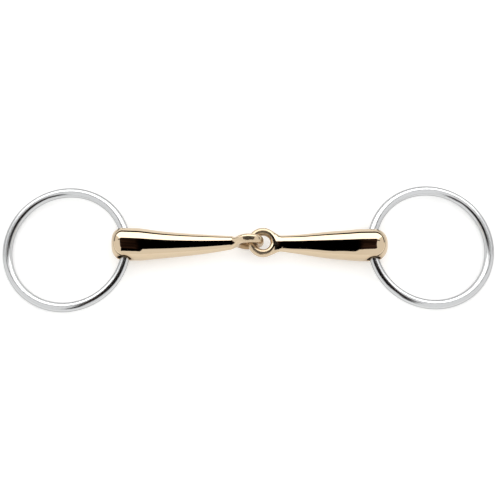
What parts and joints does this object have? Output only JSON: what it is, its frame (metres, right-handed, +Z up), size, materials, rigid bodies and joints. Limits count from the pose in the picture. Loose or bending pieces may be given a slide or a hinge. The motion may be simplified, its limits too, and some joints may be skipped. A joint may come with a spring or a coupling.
{
  "type": "snaffle bit",
  "caption": "Loose-ring single-jointed snaffle bit: two linked tapered mouthpiece arms, each with a plain round ring that turns and swings in a hole through its end.",
  "frame": {"origin": "on the table under the middle of the bit's bounding box, as it lies flat", "axes": "+X along the mouthpiece from the left ring to the right ring, +Y to the back, +Z up from the table"},
  "size_m": [0.2669, 0.0722, 0.0176],
  "materials": {
    "mouthpiece_alloy": "polished light-gold copper alloy",
    "ring_steel": "mirror-polished stainless steel"
  },
  "bodies": {
    "left_cannon": {"left_cannon": "mouthpiece_alloy"},
    "right_cannon": {"right_cannon": "mouthpiece_alloy"},
    "left_ring": {"left_ring": "ring_steel"},
    "right_ring": {"right_ring": "ring_steel"}
  },
  "joints": [
    {"name": "mouthpiece_fold", "type": "hinge", "parent": "left_cannon", "child": "right_cannon", "pos_m": [0.00736, 0.0022, 0.0088], "axis": [0, 0, 1], "range_deg": [-130, 130]},
    {"name": "left_ring_swing", "type": "hinge", "parent": "left_cannon", "child": "left_ring", "pos_m": [-0.06704, 0.0011, 0.0088], "axis": [0, 1, 0], "range_deg": [-115, 115]},
    {"name": "right_ring_swing", "type": "hinge", "parent": "right_cannon", "child": "right_ring", "pos_m": [0.06696, 0.0011, 0.0088], "axis": [0, 1, 0], "range_deg": [-115, 115]}
  ]
}
